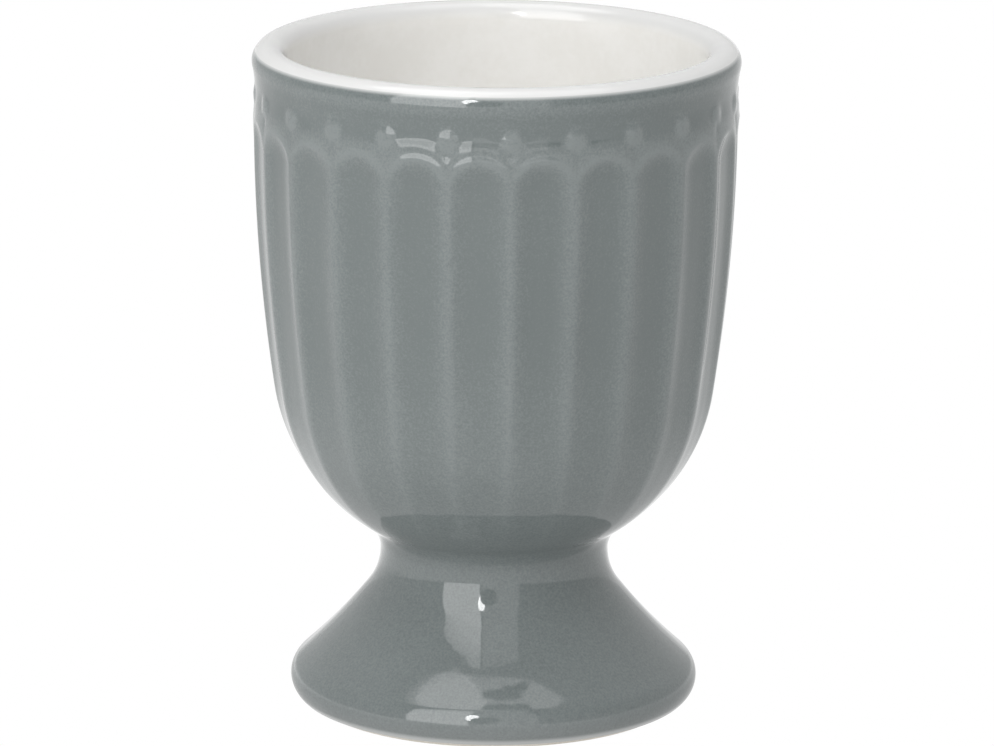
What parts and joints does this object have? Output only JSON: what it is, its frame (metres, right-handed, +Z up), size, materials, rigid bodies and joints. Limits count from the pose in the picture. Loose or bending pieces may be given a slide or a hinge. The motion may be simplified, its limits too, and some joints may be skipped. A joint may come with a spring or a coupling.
{
  "type": "egg cup",
  "caption": "Footed ceramic egg cup with a fluted bowl, a band of beads under its round lip and a flared pedestal foot, grey outside and white inside.",
  "frame": {"origin": "on the table, at the centre of the ring that the cup stands on", "axes": "+Z up along the cup's axis, -Y towards the side that the picture shows"},
  "size_m": [0.05, 0.05, 0.0692],
  "materials": {
    "clay": "matte",
    "slip": "matte",
    "white_glaze": "gloss",
    "grey_glaze": "gloss"
  },
  "bodies": {
    "root": {"bowl": "clay", "pedestal_foot": "clay", "joining_slip": "slip", "lining_glaze": "white_glaze", "outer_glaze": "grey_glaze", "underfoot_glaze": "white_glaze"}
  },
  "joints": []
}
